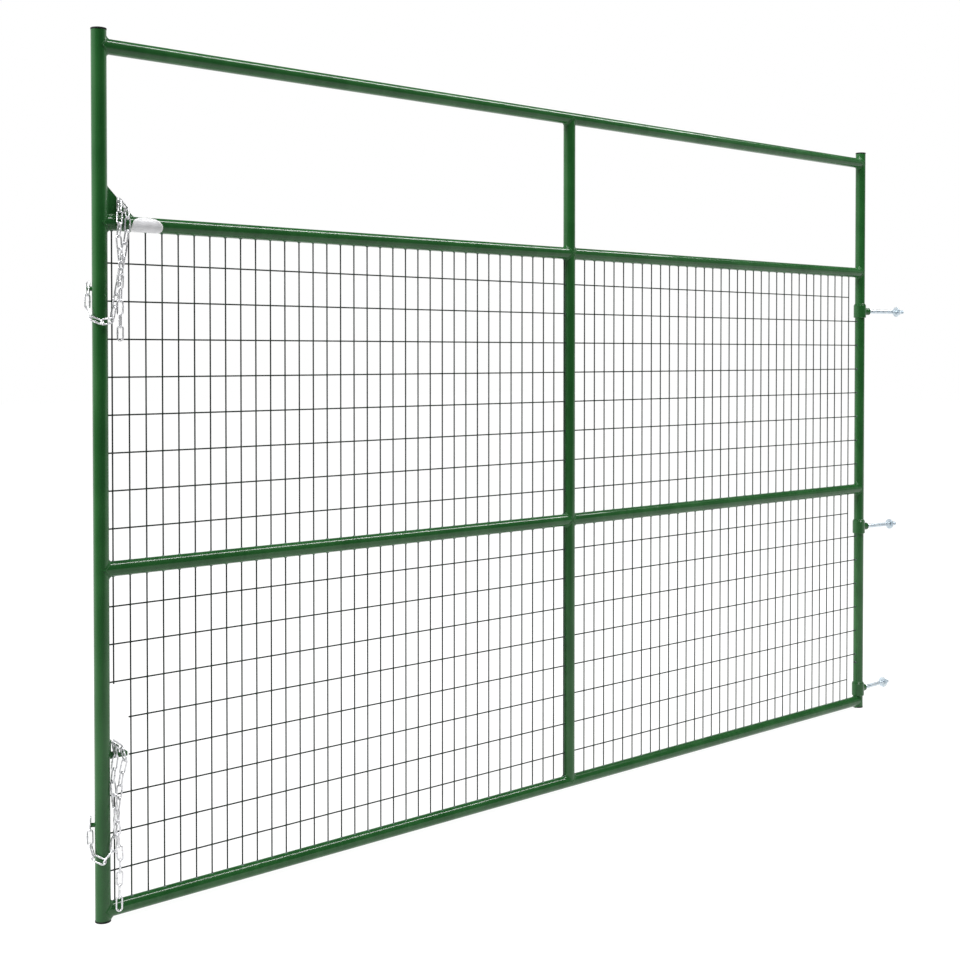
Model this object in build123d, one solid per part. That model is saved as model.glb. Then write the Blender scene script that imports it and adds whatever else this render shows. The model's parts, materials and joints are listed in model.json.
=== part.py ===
# Deer gate: tube frame, welded wire mesh, three collar hinges and two latch chains.
# Millimetres. X runs along the gate from the latch side to the hinge side, Z is up
# and the front faces -Y. The origin is on the lower hinge bolt, at the post's face.
import os
from math import asin, cos, pi, radians, sin

from build123d import *

# Tube frame
tube_d = 41.3
tube_wall = 2.1
stile_span = 3575.0
top_bay = 467.0
upper_bay = 925.0
lower_bay = 915.0
stile_rise = 43.0
stile_foot = 26.0

# End caps in the stiles
cap_rim = 3.0
cap_plug = 14.0
cap_play = 0.15

# Wire mesh
wire_d = 3.2
mesh_x = 50.8
mesh_z = 101.6
mesh_rows = 8
first_wire = 34.0
wire_tail = 5.0
mesh_hinge_room = 70.0
mesh_clear = 0.5
hole_over_row = 2
hole_under_row = 5
stub_d = 5.0
stub_length = 9.0
stub_height = 169.0

# Hinge collars that turn on the hinge stile, and their bolts
post_reach = 100.0
low_hinge = 50.0
hinge_drop = 165.0
middle_swing = -8.7
upper_swing = -18.8
collar_wall = 5.0
collar_height = 54.0
collar_play = 0.3
collar_bevel = 1.5
stop_wall = 3.0
stop_height = 3.0
stop_gap = 0.3
boss_d = 30.0
boss_reach = 47.0
socket_depth = 18.0
socket_play = 0.1
bolt_d = 15.88
bolt_reach = 230.0
bolt_chamfer = 1.5
thread_d = 15.4
thread_length = 65.0
nut_inset = 34.0
nut_flats = 23.8
nut_thick = 13.9
nut_play = 0.1
washer_d = 42.0
washer_thick = 3.4
washer_play = 0.5
washer_gap = 0.25

# Chains and the plates that hold them
link_d = 4.5
link_inside = 35.0
link_gap = 0.55
link_mouth = 10.2
chain_gap = 0.5
plate_thick = 6.0
slot_width = 10.0
steep_slot = 26.0
short_slot = 14.0
hook_sink = 2.0
gusset_leg = 78.0
upper_hook = 34.0
keeper_base = 405.0
keeper_height = 53.5
keeper_reach = 53.0
keeper_tip = 11.5
lower_hook = 9.0
tail_lean = 20.8
strand_lean = 36.0
upper_face = 44.4
lower_face = 65.3
loop_reach = 33.0
upper_loop = -266.0
lower_loop = 141.5
upper_strand = 9
lower_strand = 8
upper_tail = 11
lower_tail = 13
stud_d = 12.0

# How far the strand's last link and each loop link turn about their lengths, and which
# of the loop's pivots are held by the link before them
upper_turns = (36.1, -19.9, 51.9, -9.5, -57.1, 50.5)
lower_turns = (62.1, -53.8, 29.7, -43.5, 66.9, 8.5)
upper_holds = (True, True, False, False, True)
lower_holds = (False, True, False, True, False)

# Oval label round the front of the mesh rail, left blank. Angles go round the rail, and
# the label stops in front of the wires, short of a whole oval.
label_length = 96.0
label_arc = 100.0
label_centre = -30.0
label_foot = -80.0
label_thick = 0.8
label_at = 132.0

# Positions that follow from the sizes above
r = tube_d / 2
hinge_x = -post_reach
latch_x = hinge_x - stile_span
middle_x = (latch_x + hinge_x) / 2
rail_4 = -low_hinge
rail_3 = rail_4 + lower_bay
rail_2 = rail_3 + upper_bay
rail_1 = rail_2 + top_bay
stile_top = rail_1 + stile_rise
stile_bottom = rail_4 - stile_foot
hinges = (
    ("lower", 0.0, 0.0),
    ("middle", rail_3 - hinge_drop, middle_swing),
    ("upper", rail_2 - hinge_drop, upper_swing),
)

os.makedirs("parts", exist_ok=True)


def save(name, *shapes):
    shape = shapes[0] if len(shapes) == 1 else Compound(children=list(shapes))
    export_step(shape, f"parts/{name}.step")


def rod(start, end, diameter):
    """A round bar between two points."""
    axis = Vector(*end) - Vector(*start)
    place = Plane(origin=start, z_dir=axis.normalized())
    low = (Align.CENTER, Align.CENTER, Align.MIN)
    return place * Cylinder(diameter / 2, axis.length, align=low)


def tube(start, end, cutters):
    """A round tube whose ends are coped to the tubes it meets."""
    body = rod(start, end, tube_d) - rod(start, end, tube_d - 2 * tube_wall)
    for cutter in cutters:
        body = body - cutter
    return body.solids().sort_by(SortBy.VOLUME)[-1]


# Stiles run the whole height, and the rails are coped to them.
stiles = {}
for name, x in (("latch", latch_x), ("hinge", hinge_x)):
    ends = ((x, 0, stile_bottom), (x, 0, stile_top))
    stiles[name] = rod(*ends, tube_d)
    save(f"{name}_stile", tube(*ends, ()))
    for place, z, way in (("top", stile_top, 1), ("foot", stile_bottom, -1)):
        rim = rod((x, 0, z), (x, 0, z + way * cap_rim), tube_d)
        outer = rim.faces().sort_by(Axis.Z)[-1 if way > 0 else 0]
        rim = fillet(outer.edges(), cap_rim * 0.6)
        plug = rod((x, 0, z), (x, 0, z - way * cap_plug), tube_d - 2 * (tube_wall + cap_play))
        save(f"{name}_{place}_cap", rim + plug)

rails = {}
heights = (("top", rail_1), ("mesh", rail_2), ("middle", rail_3), ("bottom", rail_4))
for name, z in heights:
    ends = ((latch_x, 0, z), (hinge_x, 0, z))
    rails[name] = rod(*ends, tube_d)
    save(f"{name}_rail", tube(*ends, stiles.values()))

bays = (("open", "top", "mesh"), ("upper", "mesh", "middle"), ("lower", "middle", "bottom"))
rail_z = dict(heights)
for bay, over, under in bays:
    ends = ((middle_x, 0, rail_z[under]), (middle_x, 0, rail_z[over]))
    save(f"{bay}_upright", tube(*ends, (rails[over], rails[under])))

# Mesh: upright wires in front, level wires behind, welded where they cross. The lower
# bay has a hand hole beside the latch stile.
wire_front = -wire_d / 2
wire_back = wire_d / 2
last_wire = stile_span - mesh_hinge_room
places = [first_wire + mesh_x * i for i in range(int((last_wire - first_wire) // mesh_x) + 1)]
places = [latch_x + p for p in places]
clear = r + wire_d / 2 + mesh_clear
sides = {
    "left": [x for x in places if x < middle_x - clear],
    "right": [x for x in places if x > middle_x + clear],
}
for bay, over, under in bays[1:]:
    top = rail_z[over] - r
    bottom = rail_z[under] + r
    first_row = (rail_z[over] + rail_z[under] + mesh_z * (mesh_rows - 1)) / 2
    rows = [first_row - mesh_z * i for i in range(mesh_rows)]
    for side, columns in sides.items():
        uprights = []
        level_wires = []
        for x in columns:
            spans = [(bottom, top)]
            if bay == "lower" and x == places[0]:
                hole_bottom = rows[hole_under_row] + wire_tail
                hole_top = rows[hole_over_row] - wire_tail
                spans = [(bottom, hole_bottom), (hole_top, top)]
            for low, high in spans:
                uprights.append(rod((x, wire_front, low), (x, wire_front, high), wire_d))
        for i, z in enumerate(rows):
            start = latch_x + r
            end = middle_x - r
            if side == "right":
                start = middle_x + r
                end = hinge_x - r
                if i == 0 or (bay == "lower" and i == mesh_rows - 1):
                    end = places[-1] + wire_tail
            elif bay == "lower" and hole_over_row < i < hole_under_row:
                start = places[1] - wire_tail
            level_wires.append(rod((start, wire_back, z), (end, wire_back, z), wire_d))
        if bay == "lower" and side == "right":
            z = rail_4 + stub_height
            level_wires.append(rod((hinge_x - r, 0, z), (hinge_x - r - stub_length, 0, z), stub_d))
        save(f"{bay}_{side}_upright_wires", *uprights)
        save(f"{bay}_{side}_level_wires", *level_wires)

# Hinges: a collar with a boss turns on the stile, and a bolt is screwed into the boss.
# Each is drawn along X from the stile's axis, then turned as far as it stands in the photo.
thread_start = bolt_reach - thread_length
nut_x = bolt_reach - nut_inset
washer_x = nut_x - washer_gap - washer_thick
stile_bore = Cylinder(r + collar_play, 2 * collar_height)
stops = []
for level, z, swing in hinges:
    seat = Pos(hinge_x, 0, z) * Rot(0, 0, swing)

    ring = Cylinder(r + collar_play + collar_wall, collar_height)
    ring = chamfer(ring.edges().filter_by(GeomType.CIRCLE), collar_bevel)
    boss = rod((0, 0, 0), (boss_reach, 0, 0), boss_d)
    boss = chamfer(boss.faces().sort_by(Axis.X)[-1].edges(), collar_bevel)
    socket_end = boss_reach - socket_depth - socket_play
    socket = rod((socket_end, 0, 0), (bolt_reach, 0, 0), thread_d + 2 * socket_play)
    save(f"{level}_hinge_collar", seat * (ring + boss - socket - stile_bore))

    spigot = rod((boss_reach - socket_depth, 0, 0), (boss_reach, 0, 0), thread_d)
    shank = rod((boss_reach, 0, 0), (thread_start, 0, 0), bolt_d)
    thread = rod((thread_start, 0, 0), (bolt_reach, 0, 0), thread_d)
    thread = chamfer(thread.faces().sort_by(Axis.X)[-1].edges(), bolt_chamfer)
    save(f"{level}_hinge_bolt", seat * (spigot + shank + thread))

    across = Plane(origin=(nut_x, 0, 0), x_dir=(0, 1, 0), z_dir=(1, 0, 0))
    hexagon = across * RegularPolygon(nut_flats / 2, 6, major_radius=False)
    nut_bore = rod((0, 0, 0), (bolt_reach, 0, 0), thread_d + 2 * nut_play)
    save(f"{level}_nut", seat * (extrude(hexagon, nut_thick) - nut_bore))

    washer = rod((washer_x, 0, 0), (washer_x + washer_thick, 0, 0), washer_d)
    washer_bore = rod((0, 0, 0), (bolt_reach, 0, 0), thread_d + 2 * washer_play)
    save(f"{level}_washer", seat * (washer - washer_bore))

    low = z + collar_height / 2 + stop_gap
    stop = rod((hinge_x, 0, low), (hinge_x, 0, low + stop_height), tube_d + 2 * stop_wall)
    stops.append(stop - stiles["hinge"])
save("hinge_stops", *stops)


# Chain link: long axis on X, flat in XY.
link_width = link_mouth + link_d
link_span = link_inside + link_d
half = (link_span - link_width) / 2
path = SlotCenterToCenter(2 * half, link_width).face().outer_wire()
link = sweep(Plane(path @ 0, z_dir=path % 0) * Circle(link_d / 2), path=path).solid()

# A link's wire stands at each pivot that it owns, and reaches past the others by a grip.
grip = link_d + link_gap
across_span = link_inside + link_d - 2 * grip


def walk(points, owners):
    """Pivots along a line of points, as far apart as the links between them need."""
    pivots = [points[0]]
    leg = 1
    for owned in owners:
        step = link_inside + link_d - grip * (2 - sum(owned))
        here = a = pivots[-1]
        while (points[leg] - here).length < step:
            a = points[leg]
            leg += 1
        run = points[leg] - a
        low, high = 0.0, 1.0
        for _ in range(40):
            mid = (low + high) / 2
            if (a + run * mid - here).length < step:
                low = mid
            else:
                high = mid
        pivots.append(a + run * high)
    return pivots


def place_link(start, end, owned, out, twist):
    """A link between two pivots, flat to what out points away from until it is twisted."""
    way = (end - start).normalized()
    first = start if owned[0] else start - way * grip
    last = end if owned[1] else end + way * grip
    out = (out - way * out.dot(way)).normalized()
    normal = out.rotate(Axis((0, 0, 0), way), twist)
    return Plane(origin=(first + last) / 2, x_dir=way, z_dir=normal) * link


def hanging_owners(count):
    """Every other link owns both its pivots, and the first one the pivot it hangs from."""
    return [(True, False)] + [(i % 2 == 1, i % 2 == 1) for i in range(1, count)]


front = Vector(0, -1, 0)
plate_y = -(plate_thick / 2 + link_d / 2 + 2 * chain_gap)


def loop_route(bottom, start, rise, climb):
    """Points round the latch stile: turn from its front and height over the lowest one."""
    points = []
    line = [start, (-24, 0), (-78, rise), (-112, climb), (-140, climb + 66), (-150, climb + 126)]
    for (turn, height), (next_turn, next_height) in zip(line, line[1:]):
        for i in range(12):
            angle = radians(turn + (next_turn - turn) * i / 12)
            z = bottom + height + (next_height - height) * i / 12
            points.append(Vector(latch_x + loop_reach * sin(angle), -loop_reach * cos(angle), z))
    return points


def chain(level, hook, across, strand_route, strand_links, turns, holds, tail_route, tail_links, face):
    """Links from the weld stud round the stile, up to the plate, and the hanging tail."""
    other = hook + across * across_span
    owners = hanging_owners(strand_links)
    owners[-1] = (owners[-1][0], holds[0])
    owners += [(not start, end) for start, end in zip(holds, holds[1:] + (False,))]
    strand = walk([other] + strand_route, owners)
    tail_owners = hanging_owners(tail_links)
    hanging = walk([hook] + tail_route, tail_owners)

    # The link across the plate lies in the plane of the two links it holds.
    leaning = (strand[1] - other) + (hanging[1] - hook)
    fixed = [place_link(hook, other, (False, False), leaning.cross(across), 0)]

    # Strand down from the second slot, then round the stile to the weld stud.
    for i, (upper, under) in enumerate(zip(strand, strand[1:])):
        share = min(1.0, i / (strand_links - 1))
        middle = (upper + under) / 2
        away = Vector(middle.X - latch_x, middle.Y, 0).normalized()
        out = front * (1 - share) + away * share
        twist = 90 * (i + 1) + turns[0] * share
        if i >= strand_links:
            twist = turns[i - strand_links + 1]
        fixed.append(place_link(upper, under, owners[i], out, twist))

    # The stud is welded to the stile and to the last link.
    stud = rod(middle - away * tube_d, middle, stud_d) - stiles["latch"] - fixed[-1]
    save(f"{level}_chain_stud", stud.solids().sort_by(SortBy.VOLUME)[-1])

    # Tail from the first slot: the first two links stay, the rest swings.
    tail = []
    for i, (upper, under) in enumerate(zip(hanging, hanging[1:])):
        out = front.rotate(Axis.Z, face * min(1.0, max(0.0, (i - 2) / 6)))
        piece = place_link(upper, under, tail_owners[i], out, 90 * (i + 1))
        (fixed if i < 2 else tail).append(piece)
    save(f"{level}_chain", *fixed)
    save(f"{level}_chain_tail", *tail)


def plate(points, slots):
    """A flat plate in the frame's plane, with slots open at its sloping edge."""
    face = make_face(Polyline(*[(x, 0, z) for x, z in points], close=True))
    body = extrude(face, plate_thick / 2, dir=(0, 1, 0), both=True)
    for pivot, depth in slots:
        low = pivot.Z - depth
        high = pivot.Z + 2 * steep_slot
        cut = Box(slot_width, 2 * plate_thick, high - low)
        body = body - Pos(pivot.X, 0, (low + high) / 2) * cut
    return body


tube_front = -(r + link_width / 2 + link_d / 2 + chain_gap)
face_x = latch_x + r

# Upper latch: a gusset above the mesh rail, the chain led over the rail's front.
gusset_z = rail_2 + r
slope = Vector(1, 0, -1).normalized()
hook = Vector(face_x + upper_hook, plate_y, gusset_z + gusset_leg - upper_hook - hook_sink)
other = hook + slope * across_span
save("latch_gusset", plate(
    [(face_x, gusset_z), (face_x + gusset_leg, gusset_z), (face_x, gusset_z + gusset_leg)],
    [(hook, steep_slot), (other, short_slot)],
))
strand_route = [
    Vector(other.X - 7, tube_front + 3.5, rail_2 + 16),
    Vector(other.X - 11, tube_front, rail_2 - 22),
    Vector(other.X - 32.8, -23.2, rail_2 - 162),
]
tail_route = [
    Vector(hook.X - 12, tube_front - 1.6, rail_2 + 8),
    Vector(hook.X - 17.2, tube_front - 1.4, rail_2 - 40),
    Vector(hook.X - 14.4, tube_front - 11, rail_2 - 110),
    Vector(hook.X - 15, tube_front - 5.8, rail_2 - 210),
    Vector(hook.X - 15, tube_front - 5.8, rail_4),
]
strand_route += loop_route(rail_2 + upper_loop, (39.2, 5.5), 12.6, 37.5)
chain(
    "upper", hook, slope, strand_route, upper_strand, upper_turns, upper_holds,
    tail_route, upper_tail, upper_face,
)

# Lower latch: a keeper plate on the stile, the tail led down past the bottom rail.
keeper_z = rail_4 + keeper_base
fall = (keeper_height - keeper_tip) / keeper_reach
slope = Vector(1, 0, -fall).normalized()
hook_z = keeper_z + keeper_height - lower_hook * fall - hook_sink
hook = Vector(face_x + lower_hook, plate_y, hook_z)
other = hook + slope * across_span
save("lower_keeper", plate(
    [
        (face_x, keeper_z),
        (face_x + keeper_reach, keeper_z),
        (face_x + keeper_reach, keeper_z + keeper_tip),
        (face_x, keeper_z + keeper_height),
    ],
    [(hook, steep_slot), (other, short_slot)],
))


def lean(angle):
    """Where the first link below a plate ends, out from the plate and down."""
    return Vector(0, -sin(radians(angle)), -cos(radians(angle))) * (link_inside - link_gap)


strand_route = [
    other + lean(strand_lean),
    Vector(other.X - 8, -18, other.Z - 80),
    Vector(hook.X + 5, -11.5, rail_4 + 240),
]
tail_route = [
    hook + lean(tail_lean),
    Vector(hook.X - 8.2, -16.8, rail_4 + 350),
    Vector(hook.X - 6.5, -33.6, rail_4 + 240),
    Vector(hook.X + 0.5, -40.3, rail_4 + 150),
    Vector(hook.X + 0.5, tube_front - 2, rail_4 + r),
    Vector(hook.X + 0.5, tube_front - 2, rail_4 - 900),
]
strand_route += loop_route(rail_4 + lower_loop, (25.5, 18.9), 12.3, 48.2)
chain(
    "lower", hook, slope, strand_route, lower_strand, lower_turns, lower_holds,
    tail_route, lower_tail, lower_face,
)

# Blank oval label, wrapped round the mesh rail with its middle below the rail's front.
facing = (label_foot + label_centre + label_arc) / 2
start = asin((label_foot - label_centre) / label_arc)
outline = []
for i in range(21):
    turn = start + (pi - 2 * start) * i / 20
    around = label_centre + label_arc * sin(turn)
    outline.append((label_length / 2 * cos(turn), r * sin(radians(around - facing))))
oval = make_face(Spline(*outline) + Line(outline[-1], outline[0]))
middle = Vector(latch_x + label_at, 0, rail_2)
place = Plane(origin=middle, x_dir=(1, 0, 0), z_dir=front.rotate(Axis.X, -facing))
ends = (middle - Vector(label_length, 0, 0), middle + Vector(label_length, 0, 0))
film = rod(*ends, tube_d + 2 * label_thick) - rod(*ends, tube_d)
save("name_plate", (film & extrude(place * oval, tube_d)).solid())
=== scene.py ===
"""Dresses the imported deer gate: coats, welds, fasteners, caps, a blank label and a studio."""

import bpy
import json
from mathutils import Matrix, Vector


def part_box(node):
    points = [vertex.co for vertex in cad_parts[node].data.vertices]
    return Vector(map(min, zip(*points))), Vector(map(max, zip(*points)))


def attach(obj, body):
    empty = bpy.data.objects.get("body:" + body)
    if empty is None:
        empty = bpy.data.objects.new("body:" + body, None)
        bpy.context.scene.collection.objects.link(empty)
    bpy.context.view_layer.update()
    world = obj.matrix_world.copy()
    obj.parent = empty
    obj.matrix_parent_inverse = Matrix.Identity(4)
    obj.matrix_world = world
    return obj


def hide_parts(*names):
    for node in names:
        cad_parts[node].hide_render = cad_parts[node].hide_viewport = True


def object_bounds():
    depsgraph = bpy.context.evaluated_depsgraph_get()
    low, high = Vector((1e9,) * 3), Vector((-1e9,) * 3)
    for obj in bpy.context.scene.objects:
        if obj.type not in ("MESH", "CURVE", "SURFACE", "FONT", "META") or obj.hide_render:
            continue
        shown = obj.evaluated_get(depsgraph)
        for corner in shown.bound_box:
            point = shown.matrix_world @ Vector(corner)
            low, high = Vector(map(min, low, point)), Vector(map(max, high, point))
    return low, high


bl_info = {
    "name": "Deer gate finish",
    "version": (1, 0, 0),
    "blender": (4, 5, 0),
    "location": "3D View > Sidebar > Deer gate",
    "description": "Coats, welds and fasteners for a packed tube gate, and a studio to show it in",
    "category": "Object",
}

import json
import math
import random

import bmesh
import bpy
from bpy.props import FloatProperty, FloatVectorProperty, PointerProperty
from mathutils import Vector

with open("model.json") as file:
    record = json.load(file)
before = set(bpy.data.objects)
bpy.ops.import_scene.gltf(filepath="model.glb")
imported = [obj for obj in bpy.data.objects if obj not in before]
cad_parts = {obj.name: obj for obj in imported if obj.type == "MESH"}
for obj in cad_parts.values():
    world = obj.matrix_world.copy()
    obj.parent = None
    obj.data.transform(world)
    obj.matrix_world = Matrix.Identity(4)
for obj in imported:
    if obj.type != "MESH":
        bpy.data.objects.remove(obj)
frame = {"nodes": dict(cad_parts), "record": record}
cad_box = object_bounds()

MM = 0.001
MICRONS = 1e6  # in a metre
X, Y, Z = Vector((1, 0, 0)), Vector((0, 1, 0)), Vector((0, 0, 1))
LEVELS = ("lower", "middle", "upper")
BAYS = ("upper", "lower")
HALVES = ("left", "right")
UPRIGHTS = ("open", *BAYS)
RAILS = ("top", "mesh", "middle", "bottom")


def spot(node):
    """The middle of a node's box."""
    low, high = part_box(node)
    return (low + high) / 2


def spread(node):
    """The size of a node's box."""
    low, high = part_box(node)
    return high - low


def past_stile(node):
    """Where a node starts and ends along X, from the hinge stile's axis."""
    low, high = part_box(node)
    return low.x - HINGE_X, high.x - HINGE_X


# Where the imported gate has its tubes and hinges
TUBE_R = spread("hinge_stile").x / 2
LATCH_X = spot("latch_stile").x
HINGE_X = spot("hinge_stile").x
UPRIGHT_X = spot("open_upright").x
RAIL_Z = {name: spot(f"{name}_rail").z for name in RAILS}
MOUNTS = {mount["name"]: mount for mount in frame["record"]["mounts"]}
HINGE_WAY = {level: Vector(MOUNTS[f"{level}_post_bolt"]["axis"]).normalized() for level in LEVELS}
HINGE_SPOT = {
    level: Vector((HINGE_X, 0, MOUNTS[f"{level}_post_bolt"]["pos_m"][2])) for level in LEVELS
}
COLLAR_R = spread("lower_hinge_collar").y / 2
BOLT_R = spread("lower_hinge_bolt").y / 2
BOLT_FROM, BOLT_TO = past_stile("lower_hinge_bolt")
BOSS_TO = past_stile("lower_hinge_collar")[1]

# Steps along a seam or a thread's turn, and sides round a piece
BEAD_STEPS = 7
TUBE_SEAM_STEPS = 280
BOSS_SEAM_STEPS = 200
STOP_SEAM_STEPS = 240
THREAD_STEPS = 12
OVAL_STEPS = 80
CUT_STEPS = 40
WIRE_SIDES = 14
BELL_SIDES = 10
NUGGET_SIDES = 8
BOLT_SIDES = 36
NUT_SIDES = 72
WASHER_SIDES = 64
MARK_SIDES = 16
CAP_SIDES = 72

# Weld beads
BEAD_ROOT = 1.5 * MM
BEAD_SINK = 0.25 * MM
RIPPLE_SHARE = 0.14  # of a bead's rise
RIPPLE_BOW = 1.4  # radians
SEAM_STEP = 0.5 * MM  # along a latch plate
BLUNT_END = 0.05  # share of a plate bead's reach, squared, at its ends
STEEPEST = 1.02  # over 1, so that a seam between equal tubes has a finite slope

# Mesh welds: heights and radii of a bell, depths and widths of a nugget, all as shares
BELL = ((-0.22, 2.35), (0.08, 2.1), (0.3, 1.5), (0.65, 1.16), (1.0, 0.94))
BELL_NECK = 0.6  # share of the height above which all bells are as wide
BELL_WIDE = (0.88, 1.18)
BELL_TALL = (0.85, 1.15)
BELL_LEAN = 0.12
NUGGET = ((-1.0, 0.42), (-0.55, 0.86), (0.0, 1.0), (0.55, 0.86), (1.0, 0.42))
NUGGET_WIDE = (1.38, 1.58)
NUGGET_DEEP = (0.95, 1.15)
WIRE_REACH = 0.8 * MM  # a wire that ends nearer to a tube is welded to it
MESH_SEED = 4

# Link welds: places along a mark in millimetres and radii as shares of the wire's
MARK = ((-2.6, 0.93), (-1.7, 1.04), (-0.7, 1.11), (0.1, 1.13), (0.9, 1.09), (1.8, 1.03), (2.6, 0.93))
MARK_SLIP = 1.0 * MM
MARK_WOBBLE = 0.012
CHAIN_SEED = 9

# Bolts and nuts: bevels, and the thread's shape
NECK = 0.1 * MM  # a step of the groove where a shank leaves its boss
TIP_BEVEL = 1.5 * MM
RUN_IN = 1.2  # turns in which the thread comes to its depth
FLANK = 1.35  # slope of the thread's flanks
CREST = 0.2  # taken off the slope for a flat crest
BORE_BEVEL = 0.9 * MM
FACE_SHARE = 0.96  # of a nut's width across flats
CORNER_BEVEL = math.radians(30)

# Caps and label: how far they are let into the tube's coat
CAP_SINK = 0.1 * MM
LABEL_SINK = 0.15 * MM

# Stage: the floor, and where the surround turns white, as parts of a direction
FLOOR_HALF = 40.0
FLOOR_CELLS = 8
FLOOR_DROP = 0.5 * MM
FLOOR_LIT = (-5.5, -1.6)  # metres past the centre upright, from dim to lit
FLOOR_DIM = (0.1, 0.1, 0.1)
WHITE = (1.0, 1.0, 1.0)
BEHIND = (-0.1, 0.6)
BESIDE = (0.3, 1.0)
BESIDE_SHARE = 0.9
HIGH = (0.29, 0.44)
SIGHT = 200.0


# Settings that a user would change


def setting(kind, **limits):
    """Gives a function that makes settings of one kind."""

    def make(name, description, default):
        return kind(name=name, description=description, default=default, **limits)

    return make


number = setting(FloatProperty)
length = setting(FloatProperty, min=0, subtype="DISTANCE", unit="LENGTH")
angle = setting(FloatProperty, subtype="ANGLE", unit="ROTATION")
power = setting(FloatProperty, min=0, unit="POWER")
colour = setting(FloatVectorProperty, min=0, max=1, size=3, subtype="COLOR")
point = setting(FloatVectorProperty, size=3, subtype="TRANSLATION", unit="LENGTH")


class GateCoats(bpy.types.PropertyGroup):
    """Colours of the coats and platings, and the coat's thickness on the wires"""

    tube: colour("Tube coat", "Powder coat on tubes, plates and collars", (0.020, 0.110, 0.025))
    tube_deep: colour("Tube coat, deep", "The same coat where it lies thicker", (0.012, 0.080, 0.017))
    mesh: colour("Mesh coat", "Coat on the wire mesh", (0.014, 0.024, 0.018))
    mesh_deep: colour("Mesh coat, deep", "The same coat where it lies thicker", (0.008, 0.014, 0.011))
    mesh_film: length("Mesh coat thickness", "Thickness of the coat on the wires", 0.5 * MM)
    cap: colour("End caps", "Moulded caps in the stile ends", (0.006, 0.008, 0.007))
    chain: colour("Chain plating", "Bright zinc on the chain links", (0.88, 0.88, 0.90))
    chain_cloud: colour("Chain plating, cloudy", "The same zinc in its dull patches", (0.84, 0.84, 0.87))
    bolt: colour("Bolt plating", "Bluish zinc on bolts, nuts and washers", (0.68, 0.78, 0.86))
    bolt_cloud: colour("Bolt plating, cloudy", "The same zinc in its dull patches", (0.72, 0.78, 0.80))
    label: colour("Label", "Field of the blank label", (0.88, 0.88, 0.90))
    label_rim: colour("Label rim", "Rim of the blank label", (0.90, 0.90, 0.90))


class GateWelds(bpy.types.PropertyGroup):
    """Sizes of the weld beads"""

    corner_leg: length("Corner leg", "Reach of a tube weld where the tubes meet square", 9 * MM)
    side_leg: length("Side leg", "Reach of a tube weld where the tubes meet flat", 4 * MM)
    plate_leg: length("Plate leg", "Reach of the welds along a latch plate", 4.5 * MM)
    boss_leg: length("Boss leg", "Reach of the weld round a hinge boss", 4 * MM)
    stop_leg: length("Stop leg", "Reach of the weld on a hinge stop", 2.4 * MM)
    rise: length("Rise", "How far a bead is crowned", 1.3 * MM)
    ripple: length("Ripple", "Spacing of the ripples along a bead", 3.6 * MM)
    bell: length("Wire weld", "Height of the weld round a wire's end", 3.4 * MM)


class GateFasteners(bpy.types.PropertyGroup):
    """Sizes of the bolts, nuts and washers"""

    pitch: length("Thread pitch", "Eleven threads to the inch", 25.4 / 11 * MM)
    threaded: length("Threaded length", "Length of the thread at a bolt's tip", 65 * MM)
    crest_r: length("Thread crest", "Outer radius of the thread", 7.7 * MM)
    depth: length("Thread depth", "Depth of the thread", 1.3 * MM)
    boss_r: length("Boss radius", "Radius of the boss that a bolt is screwed into", 15 * MM)
    play: length("Bore play", "Room between a bolt and a nut's bore", 0.08 * MM)
    washer_play: length("Washer play", "Room between a bolt and a washer's bore", 0.5 * MM)
    edge: length("Edge", "Rounding of a stamped washer's edges", 0.6 * MM)


class GateCaps(bpy.types.PropertyGroup):
    """Sizes of the moulded caps in the stile ends"""

    lip: length("Lip", "How far a cap's lip reaches down over the tube", 2.2 * MM)
    overhang: length("Overhang", "How far the lip stands out from the tube", 0.5 * MM)
    wall: length("Tube wall", "Room for the tube's wall between the lip and the plug", 2.25 * MM)
    edge: length("Edge", "Rounding of the cap's edge", 0.9 * MM)


class GateLabel(bpy.types.PropertyGroup):
    """The blank oval label that is wrapped on the mesh rail"""

    arc: angle("Arc", "Half the oval's height, round the rail", math.radians(100))
    centre: angle("Middle", "Where the oval's middle sits, from the rail's front", math.radians(-30))
    foot: angle("Foot", "Where the label is cut off, just in front of the wires", math.radians(-80))
    thick: length("Thickness", "Thickness of the label", 0.5 * MM)
    rim: length("Rim", "Extra thickness of the label's rim", 0.25 * MM)


class GateStage(bpy.types.PropertyGroup):
    """Camera, floor and lights"""

    stand: point("Camera place", "Where the camera stands", (-5.5775, -3.5769, 1.4371))
    yaw: angle("Yaw", "Camera's turn from straight ahead towards the hinge side", math.radians(42.436))
    pitch: angle("Pitch", "Camera's tilt up from level", math.radians(-1.161))
    lens: number("Lens", "Focal length in millimetres, on a 36 mm sensor", 55.354)
    shift: number("Shift", "Upward shift of the picture", -0.09875)
    floor: colour("Floor", "Plain pale floor", (0.12, 0.12, 0.12))
    glow: number("Floor glow", "Light that the floor gives off", 0.95)
    near: colour("Surround, near", "Light from behind the camera", (0.05, 0.052, 0.055))
    far: colour("Surround, far", "Light from behind the gate and from its left", WHITE)
    aim: length("Lamp aim", "Height that the lamps are aimed at", 1.1)
    strip: point("Strip lamp", "Where the long lamp hangs", (0.4, -1.8, 7.0))
    strip_long: length("Strip length", "Length of the long lamp", 9.4)
    strip_wide: length("Strip width", "Width of the long lamp", 0.7)
    strip_power: power("Strip power", "Power of the long lamp", 585)
    side: point("Side lamp", "Where the square lamp hangs, past the latch stile", (-9.7, 1.3, 6.7))
    side_wide: length("Side width", "Width of the square lamp", 3.0)
    side_power: power("Side power", "Power of the square lamp", 900)


# Materials


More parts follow.
